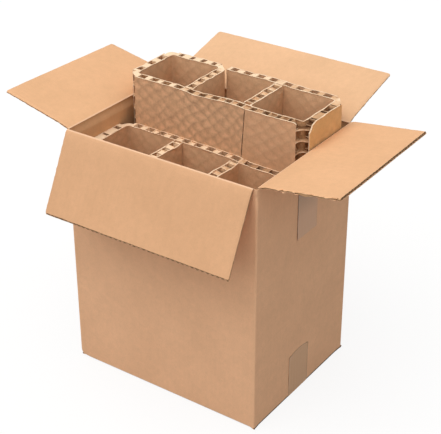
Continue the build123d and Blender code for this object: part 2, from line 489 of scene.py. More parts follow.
def build_strip(insert, end, layout, warp, seed, materials):
    """One folded strip: its inner liner in one length, its panels and the shelves at its folds."""
    panels, folds, (liner_start, liner_end), shelf_depths = layout
    path = [liner_start]
    for x, y, start, stop in folds:
        bend = arc((x, y), fold_radius + comb_liner / 2, insert.side * start, insert.side * stop)
        path += line(path[-1], bend[0]) + bend[1:]
    path += line(path[-1], liner_end)
    paper = Paper(f"{insert.row}_insert_{end}_strip", warp)
    core_on_left = (end == "left") == (insert.side > 0)
    slots = (glued_shaded_slot, cell_slot) if core_on_left else (cell_slot, glued_shaded_slot)
    paper.sheet(
        path, insert.rows, comb_liner, lambda x, y, z: Vector((x, y, insert.foot + z)),
        slots[0], back_slot=slots[1], flare=burr,
    )
    for number, panel in enumerate(panels):
        panel.add(paper, insert, seed + 11 * number)
    for fold, depth in zip(folds, shelf_depths):
        if depth is not None:
            add_shelves(paper, insert, *fold, depth)
    paper.finish(materials, "carton", "honeycomb_board")


def add_shelves(paper, insert, x, y, start, stop, depth):
    """The glued flats that reach round an opened fold, each hollowed toward the folded liner."""
    inner = fold_radius + comb_liner
    outer = comb_board + fold_radius - comb_liner
    start_way = radians(insert.side * start)
    turn = radians(insert.side * (stop - start))
    path = [(share / 10 * turn, 0.0) for share in range(11)]
    for number in range(int((insert.height - depth) / (2 * cell_half_rise)) + 1):
        level = insert.height - depth - 2 * number * cell_half_rise

        def place(angle, lift, share):
            skew = 0.7 + 0.25 * random_share(number, 5, round(x / mm))
            dip = sin(pi * (angle / turn) ** skew)
            reach = outer * (1 - shelf_hollow * dip)
            radius = inner + (reach - inner) * share
            way = start_way + angle
            bend = share * dip * (shelf_arch + shelf_scatter * random_share(number, round(y / mm)))
            bend -= shelf_droop * share * share
            return Vector((x + radius * cos(way), y + radius * sin(way), insert.foot + level + lift + bend))

        paper.sheet(
            path, [0.0, 0.35, 0.7, 1.0], 2 * core_paper, place, core_slot, core_cut_slot,
            flare=shelf_flare,
        )


def crumpled(insert, lifts, crumples, seam_shift, seam_slant):
    """A warp that waves the board a little, frays its top cut and crushes it at some places.

    lifts are how far the cut stands above its level at the insert's left end and on the two sides
    of the seam. crumples are places on the cut, x and the distance behind the face, each with its
    reach, strength and drop in mm. seam_shift and seam_slant draw the seam aside at the cut and
    further down.
    """
    seam = insert.left_butt
    spots = [
        (Vector((x, insert.inward(behind), insert.top)), reach * mm, strength * mm, drop * mm)
        for x, behind, reach, strength, drop in crumples
    ]

    def warp(point):
        depth = insert.top - point.z
        wave = fade(depth, 70 * mm, 0.0)
        lip = fade(depth, 7 * mm, 0.0)
        share = min(1.0, (point.x - insert.left) / (seam - insert.left))
        lift = lifts[0] + (lifts[1] - lifts[0]) * share
        lift += (lifts[2] - lifts[1]) * fade(point.x, seam - 18 * mm, seam + 18 * mm)
        moved = point + noise.noise_vector(point * 26) * (cut_wave * wave)
        moved += noise.noise_vector(point * 130) * (cut_fray * lip)
        moved.z += lift * fade(depth, 150 * mm, 10 * mm)
        by_seam = fade(abs(point.x - seam), 30 * mm, 0.0)
        by_seam *= fade(abs(point.y - insert.face), 20 * mm, 6 * mm) * fade(depth, 170 * mm, 90 * mm)
        moved.x -= (seam_shift + seam_slant * depth) * by_seam
        for centre, reach, strength, drop in spots:
            share = exp(-((point - centre).length / reach) ** 2)
            if share > 0.02:
                moved += noise.noise_vector(point * 150 + centre) * (strength * share)
                moved.z -= drop * share
        return moved

    return warp


# Corrugated flaps


def corrugated_panel(paper, place, span, tip, crease):
    """Two liners and the fluted sheet between them, its flutes running from the crease to the tip.

    crease holds the inner liner's first points, (along, above the outer face), where it is crushed.
    """
    half_liner = board_liner / 2
    full = board - half_liner
    near_tip = [tip - inset * mm for inset in (4, 2, 0.8, 0)]
    along = steps_between(0.0, tip - 6 * mm, 4.5 * mm) + near_tip
    across = dense_ends(-span / 2, span / 2, (0, 0.8, 2, 4), 6, 9)
    inner = [(a * mm, n * mm) for a, n in crease]
    inner += [(a, full) for a in along if a > inner[-1][0] + 4 * mm]
    bead = arc((0.0, 0.0), fold_bead - half_liner, 0, 315, 7)
    paper.sheet(bead, across, board_liner, place, closed=True)
    paper.sheet(inner, across, board_liner, place)
    paper.sheet([(a, half_liner) for a in along], across, board_liner, place, outside_slot)

    def height(a):
        for (a0, n0), (a1, n1) in zip(inner, inner[1:]):
            if a <= a1:
                return n0 + (n1 - n0) * max(0.0, a - a0) / (a1 - a0)
        return full

    swing = (board - 2 * board_liner - flute_paper) / 2
    waves = steps_between(-span / 2, span / 2, flute_pitch / 10)
    path = [(s, board / 2 + swing * sin(2 * pi * s / flute_pitch)) for s in waves]
    depths = [4 * mm, 9 * mm] + steps_between(16 * mm, tip - 4 * mm, 12 * mm) + [tip - 1.5 * mm, tip]
    paper.sheet(
        path, depths, flute_paper, lambda s, n, a: place(a, n * height(a) / full, s),
        core_slot, core_cut_slot,
    )


def flap(name, outward, angle, crease, shifts, raggedness, bevel, materials):
    """A top flap, hinged where the frame has its joint, its slot sides pinched flat and torn.

    In mm, crease is where its inner liner starts, shifts are how far its corners stand aside, along,
    across and above it, first and second side at the hinge and then at the free edge, raggedness is
    how far its two sides are torn, and bevel how far its outer face passes the inner one at the tip.
    """
    node = f"flap_{name}"
    joint = next(entry for entry in frame["joints"] if entry["child"] == f"{name}_flap")
    pivot = Vector(joint["pos_m"])
    low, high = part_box(node)
    lean = radians(angle)
    outward = Vector(outward)
    up = Vector((0, 0, 1))
    along = outward * cos(lean) + up * sin(lean)
    normal = up * cos(lean) - outward * sin(lean)
    across = along.cross(normal)
    span = abs(across.dot(high - low))
    half = span / 2
    seed = Vector((len(name), ord(name[0]), 3.0))

    def rough(x, y, z):
        return noise.noise(Vector((x, y, z)) + seed)

    def place(a, n, s):
        side = 1 if s > 0 else -1
        over_a = a - (flap_length - tip_radius)
        over_s = abs(s) - (half - tip_radius)
        if over_a > 0 and over_s > 0:
            shrink = max(over_a, over_s) / hypot(over_a, over_s)
            a = flap_length - tip_radius + over_a * shrink
            s = (half - tip_radius + over_s * shrink) * side
        bow = flap_bow * fade(a, 5 * mm, 80 * mm) * rough(a * 7, s * 7, 0)
        fray = tip_fray * fade(a, flap_length - 3 * mm, flap_length) * rough(s * 210, n * 300, 1)
        worn = fade(abs(s), half - 3.5 * mm, half) * fade(a, 3 * mm, 12 * mm)
        tear = rough(a * 150, n * 260, side) + 0.7 * rough(a * 420, n * 400, side)
        chips = 1.8 * (1 - n / board) * max(0.0, 0.1 + rough(a * 260, side, 9))
        tear = mm * raggedness[s > 0] * worn * (tear - 0.35 + chips)
        slant = mm * bevel * (1 - n / board) * fade(a, flap_length - 2.5 * mm, flap_length)
        n = board / 2 + (n - board / 2) * (1 - pinch * worn)
        out, over = a / flap_length, 0.5 + s / span
        weights = ((1 - out) * (1 - over), (1 - out) * over, out * (1 - over), out * over)
        drift = [mm * sum(w * shift[way] for w, shift in zip(weights, shifts)) for way in range(3)]
        place_a = a + fray + slant + drift[0]
        place_s = s + side * tear + drift[1]
        place_n = n + bow + drift[2]
        return pivot + along * place_a + across * place_s + normal * place_n

    paper = Paper(node)
    corrugated_panel(paper, place, span, flap_length, crease)
    paper.finish(materials, f"{name}_flap", "corrugated_board")


# Carton and tape


def rounded_loop(half_x, half_y, radius, longest):
    """Points counterclockwise round a rectangle with round corners."""
    points = []
    for sx, sy, start in ((1, -1, -90), (1, 1, 0), (-1, 1, 90), (-1, -1, 180)):
        bend = arc((sx * (half_x - radius), sy * (half_y - radius)), radius, start, start + 90)
        points += line(points[-1], bend[0], longest) + bend[1:] if points else bend
    return points + line(points[-1], points[0], longest)[:-1]


def carton_warp(low, high):
    """Lets the walls bow a little and crushes the near left corner of the foot."""
    corner = Vector((low.x, low.y, underside))

    def warp(point):
        ways = [1 if value > 0 else -1 for value in point]
        inside_ends = sum(fade(abs(p), reach, reach - 45 * mm) for p, reach in zip(point.xy, high))
        height = fade(point.z, 10 * mm, 60 * mm) * fade(point.z, rim - 8 * mm, rim - 60 * mm)
        push = noise.noise(point * 5 + Vector((3.1, 0.4, 1.7))) * wall_bow * height * min(1.0, inside_ends)
        moved = point.copy()
        bowed = 0 if abs(point.x) > abs(point.y) * high.x / high.y else 1
        moved[bowed] -= abs(push) * ways[bowed]
        square = fold_squareness * corner_radius
        for p, reach in zip(point.xy, high):
            square *= fade(abs(p), reach - 2 * corner_radius, reach)
        upper = fade(point.z, rim - 8 * mm, rim - 30 * mm)
        for way in (0, 1):
            outer = fade(abs(point[way]), 0.5 * high[way], high[way])
            moved[way] += ways[way] * (wall_swell + square) * upper * outer
        share = fade((point - corner).length, crushed_corner_reach, 0.0)
        give = Vector((1.0, 0.75, 0.35)) + 0.4 * noise.noise_vector(point * 160)
        return moved + give * (crushed_corner_depth * share)

    return warp


def build_carton(materials):
    """The folded walls, the glued joint inside and the closed bottom."""
    low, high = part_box("carton_body")
    half_x, half_y = high.x, high.y
    paper = Paper("carton_body", carton_warp(low, high))
    ridge = rim - crease_gap
    fold = corner_radius - board / 2 + 0.5 * mm

    def pinched(x):
        return fade(abs(x), half_x - 7 * mm, half_x - 2.5 * mm)

    def thinned(value, half, crushing):
        """Moves a wall's inner face outward where the board is crushed for the crease."""
        inset = half - abs(value)
        crushed = crushing * min(inset, board) * fade(inset, 2.5 * board, board)
        return (abs(value) + crushed) * (1 if value > 0 else -1)

    def upright(x, y, z):
        crushing = (1 - crease_board / board) * fade(z, ridge - crease_reach, ridge - 1 * mm)
        drop = foot_pinch * pinched(x) * fade(z, wall_foot + 8 * mm, wall_foot)
        return Vector((thinned(x, half_x, crushing), thinned(y, half_y, crushing), z - drop))

    def beneath(y, z, x):
        flat = 1 - foot_pinch / board * pinched(x) * fade(z, wall_foot + 3 * mm, wall_foot)
        return Vector((x, y, underside + (z - underside) * flat))

    loop = rounded_loop(half_x - board / 2, half_y - board / 2, fold, 8 * mm)
    heights = [wall_foot + rise * mm for rise in (0, 1.5, 4, 8, 13, 19, 26)]
    heights += steps_between(wall_foot + 38 * mm, ridge - 16 * mm, 13 * mm)
    heights += [ridge - depth * mm for depth in (13, 10, 7, 4.5, 2.5, 1, 0)]
    paper.sheet(loop, heights, board, upright, inside_slot, 0, back_slot=0, closed=True)

    middle = half_y - board / 2
    reach = half_x - flap_end_recess
    breadth = half_y - board - minor_side_clearance
    level = wall_foot + board / 2
    for side in (-1, 1):
        path = [(side * 0.5 * mm, underside + board / 2)]
        path += line(path[-1], (side * (middle - fold), underside + board / 2), 12 * mm)
        bend = arc((middle - fold, underside + board / 2 + fold), fold, -90, 0)
        path += [(side * p, q) for p, q in bend[1:]] + [(side * middle, wall_foot + 0.8 * mm)]
        along = dense_ends(-reach, reach, (0, 2, 4, 7), 13, 12)
        # The bottom flap's ends under the short walls take the near-black edge, painted shadow in the
        # recess at the foot
        paper.sheet(path, along, board - 0.1 * mm, beneath, edge_slot=foot_shadow_slot)
        start, end = side * (half_x - board / 2), side * (half_x - bottom_flap_length)
        paper.sheet(
            [(start, level), (end, level)], [-breadth, breadth], board,
            lambda x, z, y: Vector((x, y, z)),
        )
    build_glued_joint(paper, half_x, half_y)
    paper.finish(materials, "carton", "corrugated_board")


def build_glued_joint(paper, half_x, half_y):
    """The tab of the left wall that is glued inside the rear wall."""
    foot = floor_top + comb_board + tab_clearance
    head = rim - crease_gap - board - tab_clearance
    root = -half_x + board
    y = half_y - board - tab_thickness / 2

    def place(x, y, z):
        bevel = tab_bevel * fade(x - root, 0.0, tab_reach)
        return Vector((x, y, min(max(z, foot + bevel), head - bevel)))

    start = (root - 0.5 * mm, y)
    path = [start] + line(start, (root + tab_reach, y), 5 * mm)
    heights = dense_ends(foot, head, (0, 9.5), 20, 30)
    paper.sheet(path, heights, tab_thickness, place)


def tape_strip(name, material, path, middle, lifted, arch, seed):
    """A length of tape along a path of (x, z) points, its edges and cut ends a little loose.

    arch is how far the middle of its cut ends stands above their corners.
    """
    half = tape_width / 2
    runs = run_lengths(path)
    stations = dict(zip(runs, zip(path, mitred_normals(path, closed=False))))

    def place(run, offset, y):
        (x, z), (nx, nz) = stations[run]
        to_end = min(run, runs[-1] - run)
        off_floor = fade(z, 3 * mm, 14 * mm)
        edge = fade(abs(y), half - 3.5 * mm, half)
        wrinkle = noise.noise(Vector((run * 60, y * 60, seed)))
        lift = lifted[y >= 0] * edge * max(0.0, 0.55 + 0.9 * wrinkle)
        corner = fade(to_end, 14 * mm, 0.0) * fade(abs(y), half - 12 * mm, half)
        lift += 1.2 * mm * corner * abs(noise.noise(Vector((run * 170, y * 170, seed + 4))))
        jag = 1.1 * mm * fade(to_end, 2.5 * mm, 0.0) * noise.noise(Vector((y * 330, seed, 3.7)))
        jag -= nx * arch * (1 - (y / half) ** 2) * fade(to_end, 12 * mm, 0.0)
        lift = off_floor * (lift + 0.05 * mm) + offset
        return Vector((x + nx * lift + nz * jag, middle + y, z + nz * lift - nx * jag))

    paper = Paper(name, carton_warp(*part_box("carton_body")))
    across = dense_ends(-half, half, (0, 0.6, 1.5, 3), 6, 7)
    paper.sheet([(run, 0.0) for run in runs], across, tape_film_thickness, place)
    paper.finish([material, material], "carton", "tape_film")


def build_tapes(tan, clear):
    """The bottom tape round the foot of the box and what is left of the top tape."""
    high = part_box("bottom_tape")[1]
    side = high.x - tape_film_thickness / 2
    level = tape_film_thickness / 2
    bend = tape_bend
    top = bottom_tape_rise + underside
    path = [(side, top), (side, top - 1 * mm), (side, top - 3 * mm)]
    path += line(path[-1], (side, level + bend), 7 * mm)
    path += arc((side - bend, level + bend), bend, 0, -90, 4)[1:]
    path += line(path[-1], (bend - side, level), 30 * mm)
    path += arc((bend - side, level + bend), bend, -90, -180, 4)[1:]
    path += line(path[-1], (-side, high.z - 3 * mm), 7 * mm)
    path += [(-side, high.z - 1 * mm), (-side, high.z)]
    tape_strip("bottom_tape", tan, path, bottom_tape_middle, (0.5 * mm, 0.5 * mm), tape_end_arch, 2.0)
    for name, turn, lifted in (
        ("top_tape_right", 1, (1.1 * mm, 0.3 * mm)),
        ("top_tape_left", -1, (0.4 * mm, 0.4 * mm)),
    ):
        low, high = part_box(name)
        path = [(side, high.z - inset * mm) for inset in (0, 1, 3)]
        path += line(path[-1], (side, low.z + 3 * mm), 7 * mm) + [(side, low.z + 1 * mm), (side, low.z)]
        path = [(turn * x, z) for x, z in path][::turn]
        tape_strip(name, clear, path, top_tape_middle, lifted, 0.0, 5.0 + turn)


# Materials


def add_node(tree, kind, inputs=(), **settings):
    """Adds a node. An input that is given a socket is linked to it, and any other is set."""
    node = tree.nodes.new(kind)
    for setting, value in settings.items():
        setattr(node, setting, value)
    for key, value in dict(inputs).items():
        if isinstance(value, bpy.types.NodeSocket):
            tree.links.new(value, node.inputs[key])
        else:
            node.inputs[key].default_value = value
    return node


class Finish:
    """A material under construction: its node tree, its shader and short calls to add nodes."""

    def __init__(self, name, roughness, specular=0.25):
        self.material = bpy.data.materials.new(name)
        self.material.use_nodes = True
        self.tree = self.material.node_tree
        self.shader = self.tree.nodes["Principled BSDF"]
        self.shader.inputs["Roughness"].default_value = roughness
        self.shader.inputs["Specular IOR Level"].default_value = specular
        self.place = self.add("ShaderNodeTexCoord").outputs["Object"]

    def add(self, kind, inputs=(), **settings):
        return add_node(self.tree, kind, inputs, **settings)

    def math(self, operation, first, second=0.0, third=0.0):
        inputs = {0: first, 1: second, 2: third}
        return self.add("ShaderNodeMath", inputs, operation=operation).outputs[0]

    def times(self, value, factor, plus=0.0):
        return self.math("MULTIPLY_ADD", value, factor, plus)

    def waves(self, value, pitch):
        """From -1 to 1 and back, once in each pitch."""
        return self.math("SINE", self.times(value, 2 * pi / pitch))

    def noise(self, scale, detail=3.0, roughness=0.55, distortion=0.0, place=None):
        inputs = {
            "Vector": place or self.place, "Scale": scale, "Detail": detail,
            "Roughness": roughness, "Distortion": distortion,
        }
        return self.add("ShaderNodeTexNoise", inputs).outputs[0]

    def stretched(self, scale, tilt=0.0):
        inputs = {"Vector": self.place, "Scale": scale, "Rotation": (tilt, 0.0, 0.0)}
        return self.add("ShaderNodeMapping", inputs).outputs[0]

    def spread(self, value, low, high, to_low=0.0, to_high=1.0):
        inputs = {0: value, 1: low, 2: high, 3: to_low, 4: to_high}
        return self.add("ShaderNodeMapRange", inputs).outputs[0]

    def mix(self, factor, first, second, blend="MIX"):
        inputs = {0: factor, 6: first, 7: second}
        for key in (6, 7):
            if isinstance(inputs[key], tuple):
                inputs[key] = (*inputs[key], 1.0)
        return self.add("ShaderNodeMix", inputs, data_type="RGBA", blend_type=blend).outputs[2]

    def shaded(self, colour, value, low, high, to_low, to_high):
        """The colour times a grey that follows the value."""
        grey = self.spread(value, low, high, to_low, to_high)
        grey = self.add("ShaderNodeCombineXYZ", {0: grey, 1: grey, 2: grey}).outputs[0]
        return self.mix(1.0, colour, grey, "MULTIPLY")

    def parts(self, vector):
        return self.add("ShaderNodeSeparateXYZ", {0: vector}).outputs

    def flat_parts(self):
        """How far a point lies along and across its sheet."""
        return self.parts(self.add("ShaderNodeUVMap", uv_map="flat").outputs[0])[:2]

    def mottled(self, light, dark, fleck):
        """Kraft paper: soft clouds, short fibres and a few dark and light flecks."""
        fibres = self.noise(900.0, 2.0, 0.7, 0.4, self.stretched((1.0, 1.0, 0.35)))
        colour = self.mix(self.spread(self.noise(14.0, 4.0, 0.6), 0.32, 0.7), dark, light)
        colour = self.shaded(colour, fibres, 0.25, 0.75, 1 - fleck, 1 + fleck)
        patches = self.noise(110.0, 4.0, 0.65)
        colour = self.shaded(colour, patches, 0.3, 0.7, 1 - 0.6 * fleck, 1 + 0.6 * fleck)
        spots = self.spread(self.noise(420.0, 2.0, 0.5), 0.30, 0.22)
        return self.mix(self.times(spots, 2.2 * fleck), colour, grime_and_shade), fibres

    def done(self, colour, height, depth):
        """Gives the shader its colour and a bump of that depth."""
        bump = self.add("ShaderNodeBump", {"Height": height, "Distance": depth, "Strength": 1.0})
        self.tree.links.new(colour, self.shader.inputs["Base Color"])
        self.tree.links.new(bump.outputs[0], self.shader.inputs["Normal"])
        return self.material


def corrugated_liner(name, light, dark, on_wall=False):
    """Smooth kraft liner with the faint ridges of the flutes under it, in its bump and as painted shade in
    its colour.

    A wall has light scuffs, and a flap's liner is painted pale where it starts at the fold, a painted
    highlight along the crease.
    """
    finish = Finish(name, 0.78, 0.3)
    colour, fibres = finish.mottled(light, dark, 0.05)
    if on_wall:
        x, y, _ = finish.parts(finish.place)
        normal = finish.parts(finish.add("ShaderNodeTexCoord").outputs["Normal"])
        faces_x = finish.math("GREATER_THAN", finish.math("ABSOLUTE", normal[0]), 0.7)
        across = finish.times(faces_x, finish.math("SUBTRACT", y, x), x)
    else:
        run, across = finish.flat_parts()
        # Painted highlight: the liner turns pale within a few mm of the fold
        crease_highlight_share = finish.spread(run, 2.6 * mm, 1.0 * mm, 0.0, 0.6)
        colour = finish.mix(crease_highlight_share, colour, crease_highlight_kraft)
    patchy = finish.spread(finish.noise(6.0, 2.0), 0.35, 0.7)
    ridges = finish.times(finish.waves(across, flute_pitch), patchy)
    # Painted shade of the flutes: a little lighter on their ridges and darker between them
    colour = finish.shaded(colour, ridges, -1.0, 1.0, 0.992, 1.008)
    if on_wall:
        scuffs = finish.noise(95.0, 3.0, 0.6, 0.0, finish.stretched((1.0, 0.12, 1.0), radians(38)))
        pale = tuple(min(1.0, 1.08 * share) for share in light)
        colour = finish.mix(finish.spread(scuffs, 0.58, 0.78, 0.0, 0.35), colour, pale)
    return finish.done(colour, finish.times(ridges, 0.35, finish.times(fibres, 0.5)), 0.06 * mm)


def comb_liner_paper(name, light, dark, show):
    """Rough grey-brown liner through which the honeycomb's walls show as a diamond lattice, with painted
    shade of the liner swelling between them: each cell lighter on one side and darker on the other.
    """
    finish = Finish(name, 0.9, 0.2)
    colour, fibres = finish.mottled(light, dark, 0.07)
    u, v = finish.flat_parts()
    wander = finish.times(finish.math("SUBTRACT", finish.noise(30.0), 0.5), 1.2)
    along = finish.math("ADD", finish.math("DIVIDE", u, 2 * cell_half_pitch), wander)
    up = finish.math("DIVIDE", v, 2 * cell_half_rise)
    turns = [finish.math("COSINE", finish.times(value, 2 * pi)) for value in (along, up)]
    # Painted shade of the swelling liner: the cells lighter on one side and darker on the other
    swell = finish.times(finish.times(*turns), 0.12)
    lines = []
    for operation, line_strength, strength in (("SUBTRACT", 1.0, 0.16), ("ADD", 0.95, 0.2)):
        crossing = finish.math(operation, along, up)
        ridge = finish.math("SUBTRACT", 1.0, finish.math("ABSOLUTE", finish.waves(crossing, 2.0)))
        lines.append(finish.times(ridge, line_strength))
        swell = finish.times(finish.waves(crossing, 1.0), strength, swell)
    lattice = finish.times(finish.math("MAXIMUM", *lines), 0.9, swell)
    lattice = finish.times(lattice, finish.spread(finish.noise(14.0), 0.36, 0.6, 0.42, 1.0))
    grain = finish.math("SUBTRACT", finish.noise(230.0, 2.0, 0.6), 0.5)
    blotches = finish.times(grain, 1.4, lattice)
    colour = finish.shaded(colour, blotches, -0.4, 1.4, 1.0 + 0.7 * show, 1.0 - 1.4 * show)
    height = finish.math("SUBTRACT", finish.times(fibres, 0.25), lattice)
    return finish.done(colour, finish.times(finish.noise(60.0, 3.0, 0.6), 0.8, height), 0.28 * mm)


def cut_paper(name, light, dark):
    """The pale raw edge of cut board or paper."""
    finish = Finish(name, 0.95, 0.15)
    blotches = finish.spread(finish.noise(170.0, 3.0, 0.65), 0.34, 0.66)
    return finish.done(finish.mix(blotches, dark, light), finish.noise(800.0, 2.0), 0.15 * mm)


def core_sheet(name, light, dark):
    """The thinner paper of the core and the flutes."""
    finish = Finish(name, 0.92, 0.15)
    colour, fibres = finish.mottled(light, dark, 0.08)
    return finish.done(colour, fibres, 0.1 * mm)


def comb_core_sheet(name, top):
    """Core paper, pale near the cut, partly its raw edge and partly painted highlight on the lit flats,
    dark brown further down as painted shade in the cells, and tan below that.
    """
    finish = Finish(name, 0.92, 0.15)
    colour, fibres = finish.mottled((0.74, 0.46, 0.26), comb_tan, 0.08)
    sunk = finish.math("SUBTRACT", top, finish.parts(finish.place)[2])
    sunk = finish.times(finish.noise(90.0), 5 * mm, sunk)
    # Painted highlight on the flats near the cut, then painted shade a few mm down in the cells
    colour = finish.mix(finish.spread(sunk, 2.5 * mm, 5 * mm), (0.93, 0.70, 0.48), colour)
    colour = finish.mix(finish.spread(sunk, 5 * mm, 11 * mm), colour, comb_brown)
    colour = finish.mix(finish.spread(sunk, 13 * mm, 18 * mm), colour, comb_tan)
    return finish.done(colour, fibres, 0.1 * mm)


def tape_film(name, colour, haze, shadowed_sides, shadowed_end, clear_from=None):
    """Thin tan packing tape with a soft shine, the flutes faintly under it and darkened edges, painted
    shadow along its sides and cut end.

    clear_from is the height under which the board shows through it more and more.
    """
    finish = Finish(name, 0.42, 0.32)
    streaks = finish.noise(220.0, 2.0, 0.6, 0.0, finish.stretched((1.0, 1.0, 0.08)))
    patches = finish.spread(finish.noise(30.0, 3.0, 0.6), 0.3, 0.7)
    film = finish.mix(finish.times(patches, 0.6), colour, haze)
    run, across = finish.flat_parts()
    _, y, z = finish.parts(finish.place)
    edge = tape_width / 2
    if clear_from:
        beside = finish.spread(across, -0.2 * edge, edge)
        lower = finish.spread(z, clear_from, clear_from - 40 * mm)
        board_colour = tuple(0.81 * share for share in outer_kraft[1])
        film = finish.mix(finish.math("MAXIMUM", beside, lower), film, board_colour)
    # Painted shadow: the tape darkens along its sides and at its cut end
    near = finish.spread(across, 1.5 * mm - edge, 0.7 * mm - edge, 0.0, shadowed_sides[0])
    far = finish.spread(across, edge - 1.5 * mm, edge - 0.7 * mm, 0.0, shadowed_sides[1])
    end = finish.spread(run, 1.3 * mm, 0.6 * mm, 0.0, shadowed_end)
    edge_shadow = finish.math("MAXIMUM", finish.math("MAXIMUM", near, far), end)
    height = finish.times(finish.waves(y, flute_pitch), 0.35, streaks)
    return finish.done(finish.mix(edge_shadow, film, grime_and_shade), height, 0.07 * mm)


# Stage


def mix_shaders(tree, factor, first, second):
    inputs = {0: factor, 1: first.outputs[0], 2: second.outputs[0]}
    return add_node(tree, "ShaderNodeMixShader", inputs)


def show_apart(tree, hidden, shown, target):
    """Shows one shader to the camera, gloss and glass, and the other to everything else."""
    path = add_node(tree, "ShaderNodeLightPath")
    seen = path.outputs["Is Camera Ray"]
    for ray in ("Is Glossy Ray", "Is Transmission Ray"):
        inputs = {0: seen, 1: path.outputs[ray]}
        seen = add_node(tree, "ShaderNodeMath", inputs, operation="MAXIMUM").outputs[0]
    mixed = mix_shaders(tree, seen, hidden, shown)
    tree.links.new(mixed.outputs[0], tree.nodes[target].inputs["Surface"])


def pale_floor():
    """White paper that shows the shadow faintly and throws back a third of the light."""
    material = bpy.data.materials.new("pale_floor")
    material.use_nodes = True
    tree = material.node_tree
    tree.nodes.remove(tree.nodes["Principled BSDF"])
    bouncing, white = [
        add_node(tree, "ShaderNodeBsdfDiffuse", {"Color": (share, share, share, 1.0)})
        for share in (floor_bounce, floor_white)
    ]
    shown = mix_shaders(tree, floor_glow, white, add_node(tree, "ShaderNodeEmission"))
    show_apart(tree, bouncing, shown, "Material Output")
    return material


def shade_sky(tree, strength):
    """A sky that is brightest overhead and has a broad fill from the front."""
    place = add_node(tree, "ShaderNodeTexCoord").outputs["Generated"]
    _, y, z = add_node(tree, "ShaderNodeSeparateXYZ", {0: place}).outputs
    inputs = {"Value": z, "To Min": sky_horizon, "To Max": sky_zenith}
    overhead = add_node(tree, "ShaderNodeMapRange", inputs).outputs[0]
    inputs = {"Value": y, "From Max": -1.0, "To Max": -1.0}
    front = add_node(tree, "ShaderNodeMapRange", inputs).outputs[0]
    squared = add_node(tree, "ShaderNodeMath", {0: front, 1: front}, operation="MULTIPLY").outputs[0]
    inputs = {0: squared, 1: sky_front, 2: overhead}
    fill = add_node(tree, "ShaderNodeMath", inputs, operation="MULTIPLY_ADD")
    tree.links.new(fill.outputs[0], strength)


def build_stage():
    """White sky, one broad soft sun and a pale floor that keeps the shadow."""
    world = bpy.data.worlds.new("studio")
    world.use_nodes = True
    bpy.context.scene.world = world
    tree = world.node_tree
    sky = tree.nodes["Background"]
    sky.inputs["Color"].default_value = (1.0, 0.99, 0.975, 1.0)
    shade_sky(tree, sky.inputs["Strength"])
    white = add_node(tree, "ShaderNodeBackground", {"Color": (1.0, 1.0, 1.0, 1.0)})
    show_apart(tree, sky, white, "World Output")

    sun = bpy.data.lights.new("softbox", "SUN")
    sun.energy = sun_level * pi
    sun.angle = radians(sun_softness)
    sun.color = (1.0, 0.985, 0.96)
    lamp = bpy.data.objects.new("softbox", sun)
    lamp.rotation_euler = sun_direction.to_track_quat("Z", "Y").to_euler()
    bpy.context.scene.collection.objects.link(lamp)

    mesh = bpy.data.meshes.new("floor")
    corners = [(x, y, 0.0) for x, y in ((-1, -1), (1, -1), (1, 1), (-1, 1))]
    mesh.from_pydata([Vector(corner) * floor_reach for corner in corners], [], [(0, 1, 2, 3)])
    mesh.materials.append(pale_floor())
    floor = bpy.data.objects.new("floor", mesh)
    bpy.context.scene.collection.objects.link(floor)


def build_camera():
    azimuth = radians(camera_azimuth)
    elevation = radians(camera_elevation)
    roll = radians(camera_roll)
    back = Vector((sin(azimuth) * cos(elevation), -cos(azimuth) * cos(elevation), sin(elevation)))
    right = Vector((cos(azimuth), sin(azimuth), 0.0))
    up = back.cross(right)
    right, up = right * cos(roll) + up * sin(roll), up * cos(roll) - right * sin(roll)
    camera = bpy.data.cameras.new("camera")
    camera.sensor_width = sensor_width
    camera.lens = focal_pixels / frame_width * sensor_width
    camera.shift_x = (frame_width / 2 - optical_centre[0]) / frame_width
    camera.shift_y = (optical_centre[1] - frame_height / 2) / frame_width
    holder = bpy.data.objects.new("camera", camera)
    turn = Matrix((right, up, back)).transposed().to_4x4()
    holder.matrix_world = Matrix.Translation(camera_place) @ turn
    bpy.context.scene.collection.objects.link(holder)
    bpy.context.scene.camera = holder


liner_wall = corrugated_liner("kraft_wall", *outer_kraft, on_wall=True)
# The walls' inner liner, darker than the same liner on the flaps: painted shade inside the box
liner_inside_shaded = corrugated_liner("kraft_inside_shaded", (0.75, 0.44, 0.23), (0.66, 0.385, 0.2), on_wall=True)
liner_outside = corrugated_liner("kraft_outside", *outer_kraft)
liner_flap = corrugated_liner("kraft_flap", (0.805, 0.465, 0.252), (0.745, 0.43, 0.23))
liner_pale = corrugated_liner("kraft_pale", (0.80, 0.49, 0.282), (0.74, 0.455, 0.258))
# Darker copies of the flap liner and its board edge for the front flap: painted shade
front_flap_shaded_liner = corrugated_liner("kraft_flap_shaded", (0.72, 0.41, 0.224), (0.665, 0.375, 0.202))
board_edge = cut_paper("board_edge", (0.84, 0.58, 0.36), (0.40, 0.235, 0.12))
shaded_board_edge = cut_paper("shaded_board_edge", (0.48, 0.30, 0.175), (0.22, 0.13, 0.07))
